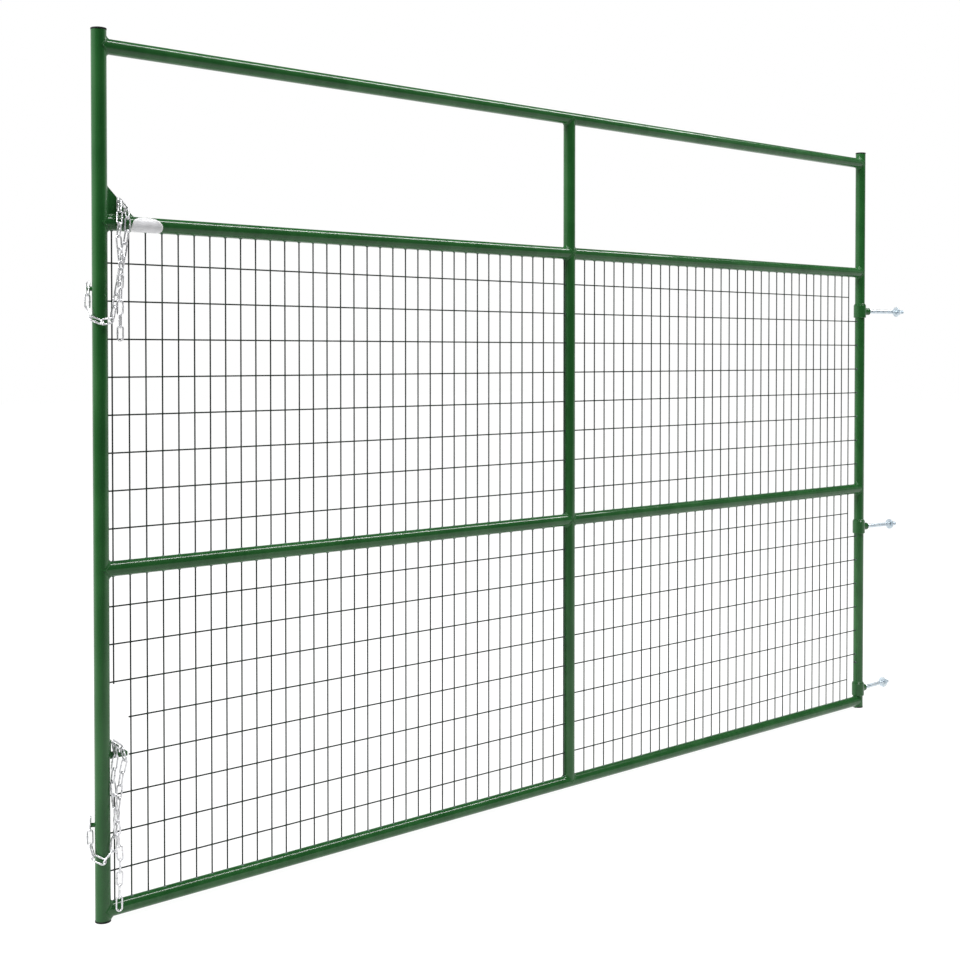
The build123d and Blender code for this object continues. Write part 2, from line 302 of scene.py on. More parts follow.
class Field:
    """A value that changes over a surface. Arithmetic on it adds Math nodes."""

    def __init__(self, nodes, socket):
        self.nodes = nodes
        self.socket = socket

    def work(self, operation, first, second):
        return self.nodes.add("ShaderNodeMath", {"operation": operation}, {0: first, 1: second})

    def __add__(self, other):
        return self.work("ADD", self, other)

    __radd__ = __add__

    def __rsub__(self, other):
        return self.work("SUBTRACT", other, self)

    def __mul__(self, other):
        return self.work("MULTIPLY", self, other)

    __rmul__ = __mul__


class Nodes:
    """A node tree that is put together from Python."""

    def __init__(self, tree):
        self.tree = tree
        tree.nodes.clear()

    def add(self, kind, settings=None, sockets=None, output=0):
        """Adds a node, sets it up, fills or links its sockets and gives one output."""
        node = self.tree.nodes.new(kind)
        for name, value in (settings or {}).items():
            setattr(node, name, value)
        for name, value in (sockets or {}).items():
            if isinstance(value, Field):
                self.tree.links.new(value.socket, node.inputs[name])
            else:
                node.inputs[name].default_value = value
        return Field(self, node.outputs[output]) if node.outputs else None

    def place(self):
        """The point on the piece, in metres."""
        return self.add("ShaderNodeTexCoord", output="Object")

    def stretched(self, place, scale):
        """A point whose parts are scaled, which draws a pattern out."""
        return self.add("ShaderNodeVectorMath", {"operation": "MULTIPLY"}, {0: place, 1: scale})

    def along(self, place, way):
        """How far a point lies along a direction."""
        return self.add("ShaderNodeVectorMath", {"operation": "DOT_PRODUCT"}, {0: place, 1: way}, "Value")

    def noise(self, place, size, detail=2.0):
        """Noise from 0 to 1 with features about size metres across."""
        sockets = {"Vector": place, "Scale": 1 / size, "Detail": detail}
        return self.add("ShaderNodeTexNoise", None, sockets)

    def cells(self, place, size, output):
        """Cells about size metres across: their distance or their colour."""
        return self.add("ShaderNodeTexVoronoi", None, {"Vector": place, "Scale": 1 / size}, output)

    def grey(self, colours):
        """One channel of a colour, as a value."""
        return self.add("ShaderNodeSeparateColor", None, {"Color": colours})

    def fade(self, value, low, high):
        """0 below low, 1 above high, and a soft change between."""
        sockets = {"Value": value, "From Min": low, "From Max": high}
        return self.add("ShaderNodeMapRange", {"interpolation_type": "SMOOTHSTEP"}, sockets)

    def blend(self, share, first, second):
        """One colour where share is 0 and the other where it is 1."""
        return self.add("ShaderNodeMix", {"data_type": "RGBA"}, {0: share, 6: first, 7: second}, 2)

    def bump(self, height, distance, strength):
        """A normal that is tilted by a height."""
        sockets = {"Height": height, "Distance": distance, "Strength": strength}
        return self.add("ShaderNodeBump", None, sockets)

    def surface(self, sockets):
        """Ends a material's tree in a shader."""
        shader = self.add("ShaderNodeBsdfPrincipled", None, sockets)
        self.add("ShaderNodeOutputMaterial", None, {"Surface": shader})


def opaque(rgb, gain=1.0):
    """A colour with its alpha, made brighter or darker by a gain."""
    return (*(min(1.0, channel * gain) for channel in rgb), 1.0)


def new_material(name):
    """An empty material and its nodes."""
    material = bpy.data.materials.new(name)
    material.use_nodes = True
    return material, Nodes(material.node_tree)


def powder_coat(name, pale, deep, peel_size, gloss, lacquer):
    """Sprayed and baked coat: orange peel, a few nibs of dust, and slow changes of depth."""
    material, nodes = new_material(name)
    place = nodes.place()
    broad = nodes.noise(place, 160 * MM, 3.0)
    runs = nodes.noise(nodes.stretched(place, (1.0, 1.0, 0.12)), 22 * MM)
    peel = nodes.noise(place, peel_size)
    grain = nodes.noise(place, peel_size / 7, 1.0)
    speck = 1 - nodes.fade(nodes.cells(place, 11 * MM, "Distance"), 0.05, 0.16)
    nib = speck * nodes.fade(nodes.noise(place, 50 * MM, 1.0), 0.56, 0.64)
    depth = nodes.fade(0.5 * broad + 0.3 * runs + 0.2 * peel, 0.34, 0.66)
    coat = nodes.blend(depth, opaque(deep), opaque(pale))
    height = peel + 0.25 * grain + 1.1 * nib
    nodes.surface(
        {
            "Base Color": nodes.blend(0.35 * nib, coat, opaque(pale, 1.7)),
            "Roughness": gloss + 0.10 * broad + 0.05 * grain,
            "Specular IOR Level": 0.15,
            "Coat Weight": lacquer * (0.8 + 0.4 * depth),
            "Coat Roughness": 0.04,
            "IOR": 1.5,
            "Normal": nodes.bump(height, 0.25 * MM, 0.22),
        }
    )
    return material


def zinc_plate(name, bright, dull, spangle, rough, metal):
    """Zinc on steel: faint spangle, dull cloudy patches and a fine grain."""
    material, nodes = new_material(name)
    place = nodes.place()
    flake = nodes.grey(nodes.cells(place, spangle, "Color"))
    cloud = nodes.noise(place, 14 * MM, 3.0)
    grain = nodes.noise(place, 0.6 * MM)
    lustre = nodes.fade(0.45 * flake + 0.55 * cloud, 0.25, 0.8)
    tone = nodes.blend(lustre, opaque(bright, 0.80), opaque(bright))
    nodes.surface(
        {
            "Base Color": nodes.blend(nodes.fade(cloud, 0.45, 0.75), tone, opaque(dull)),
            "Metallic": metal,
            "Roughness": rough + 0.12 * flake + 0.10 * cloud,
            "Normal": nodes.bump(grain + 0.6 * cloud, 0.12 * MM, 0.25),
        }
    )
    return material


def moulded_rubber(name, rgb):
    """Dark moulded cap: dull, finely pitted, a little dusty."""
    material, nodes = new_material(name)
    place = nodes.place()
    dust = nodes.fade(nodes.noise(place, 9 * MM, 4.0), 0.5, 0.8)
    pits = nodes.noise(place, 0.9 * MM)
    nodes.surface(
        {
            "Base Color": nodes.blend(dust, opaque(rgb), opaque(rgb, 1.8)),
            "Roughness": 0.50 + 0.20 * dust + 0.08 * pits,
            "Specular IOR Level": 0.2,
            "Normal": nodes.bump(pits, 0.2 * MM, 0.3),
        }
    )
    return material


def label_film(name, rgb):
    """Film with nothing printed on it: satin, with a trace of grain along it."""
    material, nodes = new_material(name)
    place = nodes.place()
    lines = nodes.noise(nodes.stretched(place, (0.03, 1.0, 1.0)), 0.7 * MM)
    cloud = nodes.noise(place, 20 * MM)
    sheen = nodes.fade(0.6 * cloud + 0.4 * lines, 0.3, 0.7)
    nodes.surface(
        {
            "Base Color": nodes.blend(sheen, opaque(rgb, 0.86), opaque(rgb)),
            "Roughness": 0.30 + 0.14 * lines,
            "Normal": nodes.bump(lines, 0.06 * MM, 0.2),
        }
    )
    return material


def dress(nodes, material):
    """Gives CAD nodes a better material, in every slot they have."""
    for name in nodes:
        mesh = frame["nodes"][name].data
        if not mesh.materials:
            raise RuntimeError(f"{name} has no material slot")
        for i in range(len(mesh.materials)):
            mesh.materials[i] = material


def material_named(name):
    """A material that an earlier step has made."""
    if name not in bpy.data.materials:
        raise RuntimeError(f"the material {name} is not made yet")
    return bpy.data.materials[name]


# Meshes


class Stock:
    """Corners and faces that are gathered into one piece."""

    def __init__(self):
        self.corners = []
        self.faces = []
        self.slots = []

    def skin(self, rings, loop=False, slots=None):
        """Covers equal rings, joined into a loop or closed at both ends, and gives the stock."""
        first = len(self.corners)
        around = len(rings[0])
        for points in rings:
            self.corners.extend(points)
        runs = len(rings) if loop else len(rings) - 1
        for i in range(runs):
            here = first + i * around
            there = first + (i + 1) % len(rings) * around
            for k in range(around):
                m = (k + 1) % around
                self.faces.append((here + k, there + k, there + m, here + m))
                self.slots.append(slots[i] if slots else 0)
        if not loop:
            last = len(self.corners) - around
            self.faces.append(tuple(range(first + around - 1, first - 1, -1)))
            self.faces.append(tuple(range(last, last + around)))
            self.slots.extend((slots[0], slots[-1]) if slots else (0, 0))
        return self

    def piece(self, name, materials, body, slot, sharp):
        """Makes the mesh and rides it on a body; slot, the name of its finish, is not used. Edges over
        sharp degrees stay hard.
        """
        if not self.faces:
            raise RuntimeError(f"{name} has no faces")
        mesh = bpy.data.meshes.new(name)
        mesh.from_pydata(self.corners, [], self.faces)
        mesh.polygons.foreach_set("material_index", self.slots)
        work = bmesh.new()
        work.from_mesh(mesh)
        bmesh.ops.recalc_face_normals(work, faces=work.faces)
        work.to_mesh(mesh)
        work.free()
        mesh.shade_smooth()
        mesh.set_sharp_from_angle(angle=math.radians(sharp))
        for material in materials:
            mesh.materials.append(material)
        thing = bpy.data.objects.new(name, mesh)
        bpy.context.scene.collection.objects.link(thing)
        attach(thing, body)
        return thing


def ring(centre, side, up, radius, count, start=0.0):
    """Points round a centre, in the plane of two directions."""
    turns = (start + 2 * math.pi * k / count for k in range(count))
    return [centre + (side * math.cos(t) + up * math.sin(t)) * radius for t in turns]


def turned(level, profile, count):
    """Rings on a hinge's axis, from places along it and radii."""
    way = HINGE_WAY[level]
    return [ring(HINGE_SPOT[level] + way * s, Z.cross(way), Z, r, count) for s, r in profile]


def bead(stock, seam, rise, ripple, loop):
    """A weld bead along a seam of corners, with a point on each side and the way out."""
    total = sum((b[0] - a[0]).length for a, b in zip(seam, seam[1:]))
    waves = max(1, round(total / ripple))
    rings = []
    run = 0.0
    for i, (corner, one, other, out) in enumerate(seam):
        if i:
            run += (corner - seam[i - 1][0]).length
        points = []
        for k in range(BEAD_STEPS + 1):
            u = k / BEAD_STEPS
            arch = 4 * u * (1 - u)
            wave = math.cos(2 * math.pi * waves * run / total + RIPPLE_BOW * arch)
            at = one * (1 - u) ** 2 + corner * (2 * u * (1 - u)) + other * u**2
            points.append(at + out * (rise * arch * (1 + RIPPLE_SHARE * wave) - BEAD_SINK * (1 - arch)))
        points.append(corner - out * BEAD_ROOT)
        rings.append(points)
    stock.skin(rings, loop)


def saddle(centre, run, branch, branch_r, run_r, side_leg, corner_leg, count):
    """The seam where one round tube ends on another."""
    side = run.cross(branch)
    seam = []
    for i in range(count):
        turn = 2 * math.pi * i / count
        s, c = math.sin(turn), math.cos(turn)
        rise = math.sqrt(max(run_r**2 - (branch_r * c) ** 2, 0))
        corner = centre + run * (branch_r * s) + side * (branch_r * c) + branch * rise
        leg = side_leg + (corner_leg - side_leg) * s * s
        along = s / math.sqrt(STEEPEST - (branch_r * c / run_r) ** 2)
        size = math.hypot(along, c)
        swing = math.atan2(rise, branch_r * c) - leg * c / size / run_r
        on_run = centre + run * (branch_r * s + leg * along / size)
        on_run += (side * math.cos(swing) + branch * math.sin(swing)) * run_r
        out = run * s + side * c + (branch * rise + side * (branch_r * c)) / run_r
        seam.append((corner, corner + branch * leg, on_run, out.normalized()))
    return seam


def plate_seam(foot, along, off, run, half, side, leg):
    """The seam along a plate that stands on a tube. foot is on the tube's axis."""
    count = round(run / SEAM_STEP)
    seam = []
    for i in range(count + 1):
        s = run * i / count
        end = min(s, run - s) / leg
        reach = leg * math.sqrt(min(1.0, BLUNT_END + end))
        base = foot + along * s
        corner = base + off * math.sqrt(TUBE_R**2 - half**2) + Y * (side * half)
        wide = half + reach
        on_tube = base + off * math.sqrt(TUBE_R**2 - wide**2) + Y * (side * wide)
        seam.append((corner, corner + off * reach, on_tube, (off + Y * side).normalized()))
    return seam


def islands(node):
    """The separate solids of a node, each as its list of corners."""
    mesh = frame["nodes"][node].data
    first = {}
    lead = []
    for vertex in mesh.vertices:
        key = tuple(round(c * MICRONS) for c in vertex.co)
        lead.append(first.setdefault(key, vertex.index))

    def top(i):
        while lead[i] != i:
            lead[i] = lead[lead[i]]
            i = lead[i]
        return i

    for face in mesh.polygons:
        corners = [top(i) for i in face.vertices]
        for corner in corners[1:]:
            lead[top(corner)] = top(corners[0])
    groups = {}
    for vertex in mesh.vertices:
        groups.setdefault(top(vertex.index), []).append(vertex.co.copy())
    return [groups[key] for key in sorted(groups)]


def box_of(corners):
    """The lowest and the highest corner of a box round some corners."""
    low = Vector([min(p[i] for p in corners) for i in range(3)])
    high = Vector([max(p[i] for p in corners) for i in range(3)])
    return low, high


# Operators: one for each piece or group of like pieces


class GATE_OT_coat_frame(bpy.types.Operator):
    """Powder coats the tubes, plates, collars, stops and studs"""

    bl_idname = "gate.coat_frame"
    bl_label = "Coat the frame"

    def execute(self, context):
        coats = context.scene.gate_coats
        coat = powder_coat(
            "tube_coat", coats.tube, coats.tube_deep, peel_size=2.4 * MM, gloss=0.20, lacquer=0.45
        )
        tubes = ["latch_stile", "hinge_stile"]
        tubes += [f"{name}_rail" for name in RAILS]
        tubes += [f"{bay}_upright" for bay in UPRIGHTS]
        plates = ["latch_gusset", "lower_keeper", "hinge_stops"]
        collars = [f"{level}_hinge_collar" for level in LEVELS]
        studs = [f"{bay}_chain_stud" for bay in BAYS]
        dress(tubes + plates + collars + studs, coat)
        return {"FINISHED"}


class GATE_OT_coat_mesh(bpy.types.Operator):
    """Lays a coat of its own thickness over each wire of the mesh"""

    bl_idname = "gate.coat_mesh"
    bl_label = "Coat the mesh"

    def wire(self, stock, corners, film):
        """A coated bar along the longest side of a wire's box."""
        low, high = box_of(corners)
        size = high - low
        axis = max(range(3), key=lambda i: size[i])
        way = (X, Y, Z)[axis]
        side = (Y, Z, X)[axis]
        start = (low + high) / 2 - way * (size[axis] / 2)
        end = size[axis]
        bare = min(size) / 2
        coated = bare + film
        profile = ((0, bare), (film, coated), (end - film, coated), (end, bare))
        stock.skin([ring(start + way * s, side, way.cross(side), r, WIRE_SIDES) for s, r in profile])

    def execute(self, context):
        coats = context.scene.gate_coats
        coat = powder_coat(
            "mesh_coat", coats.mesh, coats.mesh_deep, peel_size=1.6 * MM, gloss=0.34, lacquer=0.15
        )
        for bay in BAYS:
            for half in HALVES:
                for way in ("upright", "level"):
                    node = f"{bay}_{half}_{way}_wires"
                    stock = Stock()
                    for corners in islands(node):
                        self.wire(stock, corners, coats.mesh_film)
                    coated = stock.piece(f"{node}_coated", [coat], "leaf", "mesh_coat", sharp=60)
                    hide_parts(node)
        return {"FINISHED"}


class GATE_OT_weld_tubes(bpy.types.Operator):
    """Lays a rippled bead round each tube end"""

    bl_idname = "gate.weld_tubes"
    bl_label = "Weld the tubes"

    def execute(self, context):
        welds = context.scene.gate_welds
        coats = context.scene.gate_coats
        coat = powder_coat(
            "weld_coat", coats.tube, coats.tube_deep, peel_size=2.4 * MM, gloss=0.28, lacquer=0.22
        )
        joints = {}
        for name, z in RAIL_Z.items():
            latch, hinge = Vector((LATCH_X, 0, z)), Vector((HINGE_X, 0, z))
            joints[f"{name}_rail_welds"] = ((latch, Z, X), (hinge, Z, -X))
        for bay, over, under in zip(UPRIGHTS, RAILS, RAILS[1:]):
            foot, head = Vector((UPRIGHT_X, 0, RAIL_Z[under])), Vector((UPRIGHT_X, 0, RAIL_Z[over]))
            joints[f"{bay}_upright_welds"] = ((foot, X, Z), (head, X, -Z))
        legs = (welds.side_leg, welds.corner_leg)
        for name, places in joints.items():
            stock = Stock()
            for centre, run, branch in places:
                seam = saddle(centre, run, branch, TUBE_R, TUBE_R, *legs, TUBE_SEAM_STEPS)
                bead(stock, seam, welds.rise, welds.ripple, True)
            stock.piece(name, [coat], "leaf", "green_coat", sharp=80)
        return {"FINISHED"}


class GATE_OT_weld_plates(bpy.types.Operator):
    """Welds the latch plates to the stile and the rail"""

    bl_idname = "gate.weld_plates"
    bl_label = "Weld the latch plates"

    def execute(self, context):
        welds = context.scene.gate_welds
        coat = material_named("weld_coat")
        for name in ("latch_gusset", "lower_keeper"):
            low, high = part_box(name)
            half = (high.y - low.y) / 2
            runs = [(Vector((LATCH_X, 0, low.z)), Z, X, high.z - low.z)]
            if name == "latch_gusset":
                runs.append((Vector((low.x, 0, RAIL_Z["mesh"])), X, Z, high.x - low.x))
            stock = Stock()
            for foot, along, off, run in runs:
                for side in (-1, 1):
                    seam = plate_seam(foot, along, off, run, half, side, welds.plate_leg)
                    bead(stock, seam, welds.rise, welds.ripple, False)
            stock.piece(f"{name}_welds", [coat], "leaf", "green_coat", sharp=80)
        return {"FINISHED"}


class GATE_OT_weld_hinges(bpy.types.Operator):
    """Welds each boss to its collar and each stop to the stile"""

    bl_idname = "gate.weld_hinges"
    bl_label = "Weld the hinges"

    def stop_seam(self, top, leg):
        """The seam round the hinge stile at a stop's top face."""
        seam = []
        for i in range(STOP_SEAM_STEPS):
            turn = 2 * math.pi * i / STOP_SEAM_STEPS
            away = Vector((math.cos(turn), math.sin(turn), 0))
            corner = Vector((HINGE_X, 0, top)) + away * TUBE_R
            seam.append((corner, corner + Z * leg, corner + away * leg, (away + Z).normalized()))
        return seam

    def execute(self, context):
        welds = context.scene.gate_welds
        boss_r = context.scene.gate_fasteners.boss_r
        coat = material_named("weld_coat")
        legs = (welds.boss_leg, welds.boss_leg)
        for level in LEVELS:
            stock = Stock()
            place, way = HINGE_SPOT[level], HINGE_WAY[level]
            seam = saddle(place, Z, way, boss_r, COLLAR_R, *legs, BOSS_SEAM_STEPS)
            bead(stock, seam, welds.rise, welds.ripple, True)
            stock.piece(f"{level}_boss_weld", [coat], f"{level}_hinge", "green_coat", sharp=80)
        stock = Stock()
        for corners in islands("hinge_stops"):
            seam = self.stop_seam(box_of(corners)[1].z, welds.stop_leg)
            bead(stock, seam, welds.rise / 2, welds.ripple, True)
        stock.piece("hinge_stop_welds", [coat], "leaf", "green_coat", sharp=80)
        return {"FINISHED"}


class GATE_OT_weld_mesh(bpy.types.Operator):
    """Welds the wires where they cross and where they meet the tubes"""

    bl_idname = "gate.weld_mesh"
    bl_label = "Weld the mesh"

    def bell(self, stock, foot, way, radius, height, chance):
        """A little bell of weld round a wire's end."""
        side = way.orthogonal().normalized()
        up = way.cross(side)
        wide = chance.uniform(*BELL_WIDE)
        tall = height * chance.uniform(*BELL_TALL)
        start = chance.uniform(0, math.pi)
        lean = (side * chance.uniform(-1, 1) + up * chance.uniform(-1, 1)) * (radius * BELL_LEAN)
        rings = []
        for rise, reach in BELL:
            centre = foot + way * (tall * rise) + lean * (1 - rise)
            grow = wide if rise < BELL_NECK else 1.0
            rings.append(ring(centre, side, up, radius * reach * grow, BELL_SIDES, start))
        stock.skin(rings)

    def nugget(self, stock, centre, radius, chance):
        """The squeezed metal between two crossing wires."""
        wide = radius * chance.uniform(*NUGGET_WIDE)
        deep = radius * chance.uniform(*NUGGET_DEEP)
        start = math.pi / NUGGET_SIDES
        stock.skin([ring(centre + Y * (deep * d), X, Z, wide * w, NUGGET_SIDES, start) for d, w in NUGGET])

    def weld_ends(self, stock, wires, axis, tubes, scene, chance):
        """Bells at the ends that meet a tube. axis is 0 for level wires and 2 for upright ones."""
        way = (X, Y, Z)[axis]
        for low, high in wires:
            radius = (high - low)[2 - axis] / 2 + scene.gate_coats.mesh_film
            for side, end in ((1, low[axis]), (-1, high[axis])):
                if any(abs(end - tube - side * TUBE_R) < WIRE_REACH for tube in tubes):
                    foot = (low + high) / 2
                    foot[axis] = end
                    self.bell(stock, foot, way * side, radius, scene.gate_welds.bell, chance)

    def weld_crossings(self, stock, uprights, levels, film, chance):
        """A nugget wherever an upright wire crosses a level one."""
        for low, high in uprights:
            x = (low.x + high.x) / 2
            radius = (high.x - low.x) / 2 + film
            for left, right in levels:
                z = (left.z + right.z) / 2
                if left.x < x < right.x and low.z < z < high.z:
                    self.nugget(stock, Vector((x, 0, z)), radius, chance)

    def execute(self, context):
        scene = context.scene
        coat = material_named("mesh_coat")
        chance = random.Random(MESH_SEED)
        posts = (LATCH_X, UPRIGHT_X, HINGE_X)
        for bay in BAYS:
            ends = Stock()
            crossings = Stock()
            for half in HALVES:
                uprights = [box_of(c) for c in islands(f"{bay}_{half}_upright_wires")]
                levels = [box_of(c) for c in islands(f"{bay}_{half}_level_wires")]
                self.weld_ends(ends, uprights, 2, RAIL_Z.values(), scene, chance)
                self.weld_ends(ends, levels, 0, posts, scene, chance)
                self.weld_crossings(crossings, uprights, levels, scene.gate_coats.mesh_film, chance)
            ends.piece(f"{bay}_wire_end_welds", [coat], "leaf", "mesh_coat", sharp=80)
            crossings.piece(f"{bay}_wire_crossings", [coat], "leaf", "mesh_coat", sharp=80)
        return {"FINISHED"}


class GATE_OT_make_bolts(bpy.types.Operator):
    """Makes the hinge bolts, with a rolled thread at the tip"""

    bl_idname = "gate.make_bolts"
    bl_label = "Make the hinge bolts"

    def shank(self, sizes):
        """Places along a bolt and its radii there, from its seat in the boss to the thread."""
        return (
            (BOLT_FROM, sizes.crest_r - sizes.depth),
            (BOLT_FROM + sizes.depth, sizes.crest_r),
            (BOSS_TO - 2 * NECK, sizes.crest_r),
            (BOSS_TO + NECK, BOLT_R - 3 * NECK),
            (BOSS_TO + 6 * NECK, BOLT_R),
            (BOLT_TO - sizes.threaded - 8 * NECK, BOLT_R),
        )

    def thread(self, sizes, run, share):
        """The thread's radius after a run along it, at a share of a turn."""
        cut_in = min(1.0, run / (RUN_IN * sizes.pitch))
        slope = abs(2 * ((run / sizes.pitch - share) % 1.0) - 1)
        groove = min(1.0, max(0.0, FLANK * slope - CREST)) * cut_in
        crest = sizes.crest_r + (BOLT_R - sizes.crest_r) * (1 - cut_in)
        tip = sizes.crest_r - TIP_BEVEL + sizes.threaded - run
        return min(crest - sizes.depth * groove, BOLT_R, tip)

    def execute(self, context):
        sizes = context.scene.gate_fasteners
        coats = context.scene.gate_coats
        plating = zinc_plate(
            "bolt_plating", coats.bolt, coats.bolt_cloud, spangle=4 * MM, rough=0.34, metal=0.70
        )
        count = round(sizes.threaded / sizes.pitch * THREAD_STEPS)
        for level in LEVELS:
            way = HINGE_WAY[level]
            spokes = ring(Vector(), Z.cross(way), Z, 1.0, BOLT_SIDES)
            rings = turned(level, self.shank(sizes), BOLT_SIDES)
            for i in range(count + 1):
                run = sizes.threaded * i / count
                at = HINGE_SPOT[level] + way * (BOLT_TO - sizes.threaded + run)
                radii = [self.thread(sizes, run, k / BOLT_SIDES) for k in range(BOLT_SIDES)]
                rings.append([at + spoke * radius for spoke, radius in zip(spokes, radii)])
            stock = Stock().skin(rings)
            bolt = stock.piece(f"{level}_threaded_bolt", [plating], f"{level}_hinge", "bolt_zinc", sharp=50)
            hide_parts(f"{level}_hinge_bolt")
        return {"FINISHED"}


class GATE_OT_make_nuts(bpy.types.Operator):
    """Makes the chamfered nuts and the stamped washers"""

    bl_idname = "gate.make_nuts"
    bl_label = "Make the nuts and washers"

    def nut(self, level, sizes, plating):
        """A hexagon with bevelled corners and a bevelled bore."""
        start, end = past_stile("lower_nut")
        flat = spread("lower_nut").z / 2
        bore = sizes.crest_r + sizes.play
        mouth = bore + BORE_BEVEL
        face = flat * FACE_SHARE
        half_flat = math.pi / 6
        way = HINGE_WAY[level]
        ribs = []
        for k, away in enumerate(ring(Vector(), Z.cross(way), Z, 1.0, NUT_SIDES)):
            turn = 2 * math.pi * k / NUT_SIDES
            off_corner = (turn + half_flat) % (2 * half_flat) - half_flat
            reach = flat / math.cos(half_flat - abs(off_corner))
            cut = (reach - face) * math.tan(CORNER_BEVEL)
            profile = (
                (start + BORE_BEVEL, bore),
                (start, mouth),
                (start, face),
                (start + cut, reach),
                (end - cut, reach),
                (end, face),
                (end, mouth),
                (end - BORE_BEVEL, bore),
            )
            ribs.append([HINGE_SPOT[level] + way * s + away * radius for s, radius in profile])
        stock = Stock().skin(list(zip(*ribs)), True)
        thing = stock.piece(f"{level}_hex_nut", [plating], f"{level}_nut_set", "bolt_zinc", sharp=12)
        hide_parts(f"{level}_nut")

    def washer(self, level, sizes, plating):
        """A stamped ring, rounder on the side that the die came in."""
        start, end = past_stile("lower_washer")
        outer = spread("lower_washer").z / 2
        inner = sizes.crest_r + sizes.washer_play
        edge = sizes.edge
        rolled = edge * 0.3
        profile = (
            (start + edge, inner),
            (start + rolled, inner + rolled),
            (start, inner + edge),
            (start, outer - 2 * edge),
            (start + rolled, outer - rolled),
            (start + 1.5 * edge, outer),
            (end - rolled, outer),
            (end, outer - rolled),
            (end, inner + rolled),
            (end - rolled, inner),
        )
        stock = Stock().skin(turned(level, profile, WASHER_SIDES), True)
        body = f"{level}_washer_set"
        thing = stock.piece(f"{level}_stamped_washer", [plating], body, "bolt_zinc", sharp=30)
        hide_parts(f"{level}_washer")

    def execute(self, context):
        sizes = context.scene.gate_fasteners
        plating = material_named("bolt_plating")
        for level in LEVELS:
            self.nut(level, sizes, plating)
            self.washer(level, sizes, plating)
        return {"FINISHED"}


class GATE_OT_plate_chains(bpy.types.Operator):
    """Zinc plates the chains and marks the weld in each link"""

    bl_idname = "gate.plate_chains"
    bl_label = "Plate the chains"

    def mark(self, stock, corners, chance):
        """The swollen weld in one long side of a link."""
        middle = sum(corners, Vector()) / len(corners)
        arms = [corner - middle for corner in corners]
        long_way = max(arms, key=lambda arm: arm.length).normalized()
        across = [arm - long_way * arm.dot(long_way) for arm in arms]
        widest = max(across, key=lambda arm: arm.length)
        wide_way = widest.normalized()
        flat_way = long_way.cross(wide_way)
        wire_r = max(abs(arm.dot(flat_way)) for arm in arms)
        slip = chance.uniform(-MARK_SLIP, MARK_SLIP)
        centre = middle + wide_way * (widest.length - wire_r) + long_way * slip
        rings = []
        for s, grow in MARK:
            radius = wire_r * grow * (1 + chance.uniform(-MARK_WOBBLE, MARK_WOBBLE))
            rings.append(ring(centre + long_way * (s * MM), wide_way, flat_way, radius, MARK_SIDES))
        stock.skin(rings)

    def execute(self, context):
        coats = context.scene.gate_coats
        plating = zinc_plate(
            "chain_plating", coats.chain, coats.chain_cloud, spangle=3 * MM, rough=0.22, metal=0.72
        )
        chance = random.Random(CHAIN_SEED)
        for bay in BAYS:
            for node, body in ((f"{bay}_chain", "leaf"), (f"{bay}_chain_tail", f"{bay}_tail")):
                dress([node], plating)
                stock = Stock()
                for corners in islands(node):
                    self.mark(stock, corners, chance)
                stock.piece(f"{node}_link_welds", [plating], body, "chain_zinc", sharp=60)
        return {"FINISHED"}


class GATE_OT_fit_caps(bpy.types.Operator):
    """Makes the moulded caps in the stile ends"""

    bl_idname = "gate.fit_caps"
    bl_label = "Fit the end caps"

    def cap(self, stile, end, sizes, rubber):
        """A plug in the stile's bore, a lip over its end and a slightly crowned face."""
        node = f"{stile}_{end}_cap"
        side = 1 if end == "top" else 0
        way = Z if end == "top" else -Z
        mouth = Vector((spot(node).x, 0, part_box(f"{stile}_stile")[side].z))
        rim = abs(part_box(node)[side].z - mouth.z)
        plug = spread(node).z - rim
        bore = TUBE_R - sizes.wall
        grip = TUBE_R - CAP_SINK
        lip = TUBE_R + sizes.overhang
        edge = sizes.edge
        profile = (
            (-plug, bore - edge),
            (edge - plug, bore),
            (0, bore),
            (0, grip),
            (-sizes.lip, grip),
            (-sizes.lip, lip - 0.3 * edge),
            (0.3 * edge - sizes.lip, lip),
            (rim - 1.2 * edge, lip),
            (rim - 0.6 * edge, lip - 0.2 * edge),
            (rim - 0.25 * edge, lip - edge),
            (rim - 0.1 * edge, lip * 0.8),
            (rim, lip * 0.4),
            (rim, lip * 0.05),
        )
        rings = [ring(mouth + way * s, X, way.cross(X), r, CAP_SIDES) for s, r in profile]
        stock = Stock().skin(rings)
        thing = stock.piece(f"{node}_moulded", [rubber], "leaf", "cap_rubber", sharp=50)
        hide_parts(node)

    def execute(self, context):
        rubber = moulded_rubber("cap_rubber_black", context.scene.gate_coats.cap)
        for stile in ("latch", "hinge"):
            for end in ("top", "foot"):
                self.cap(stile, end, context.scene.gate_caps, rubber)
        return {"FINISHED"}


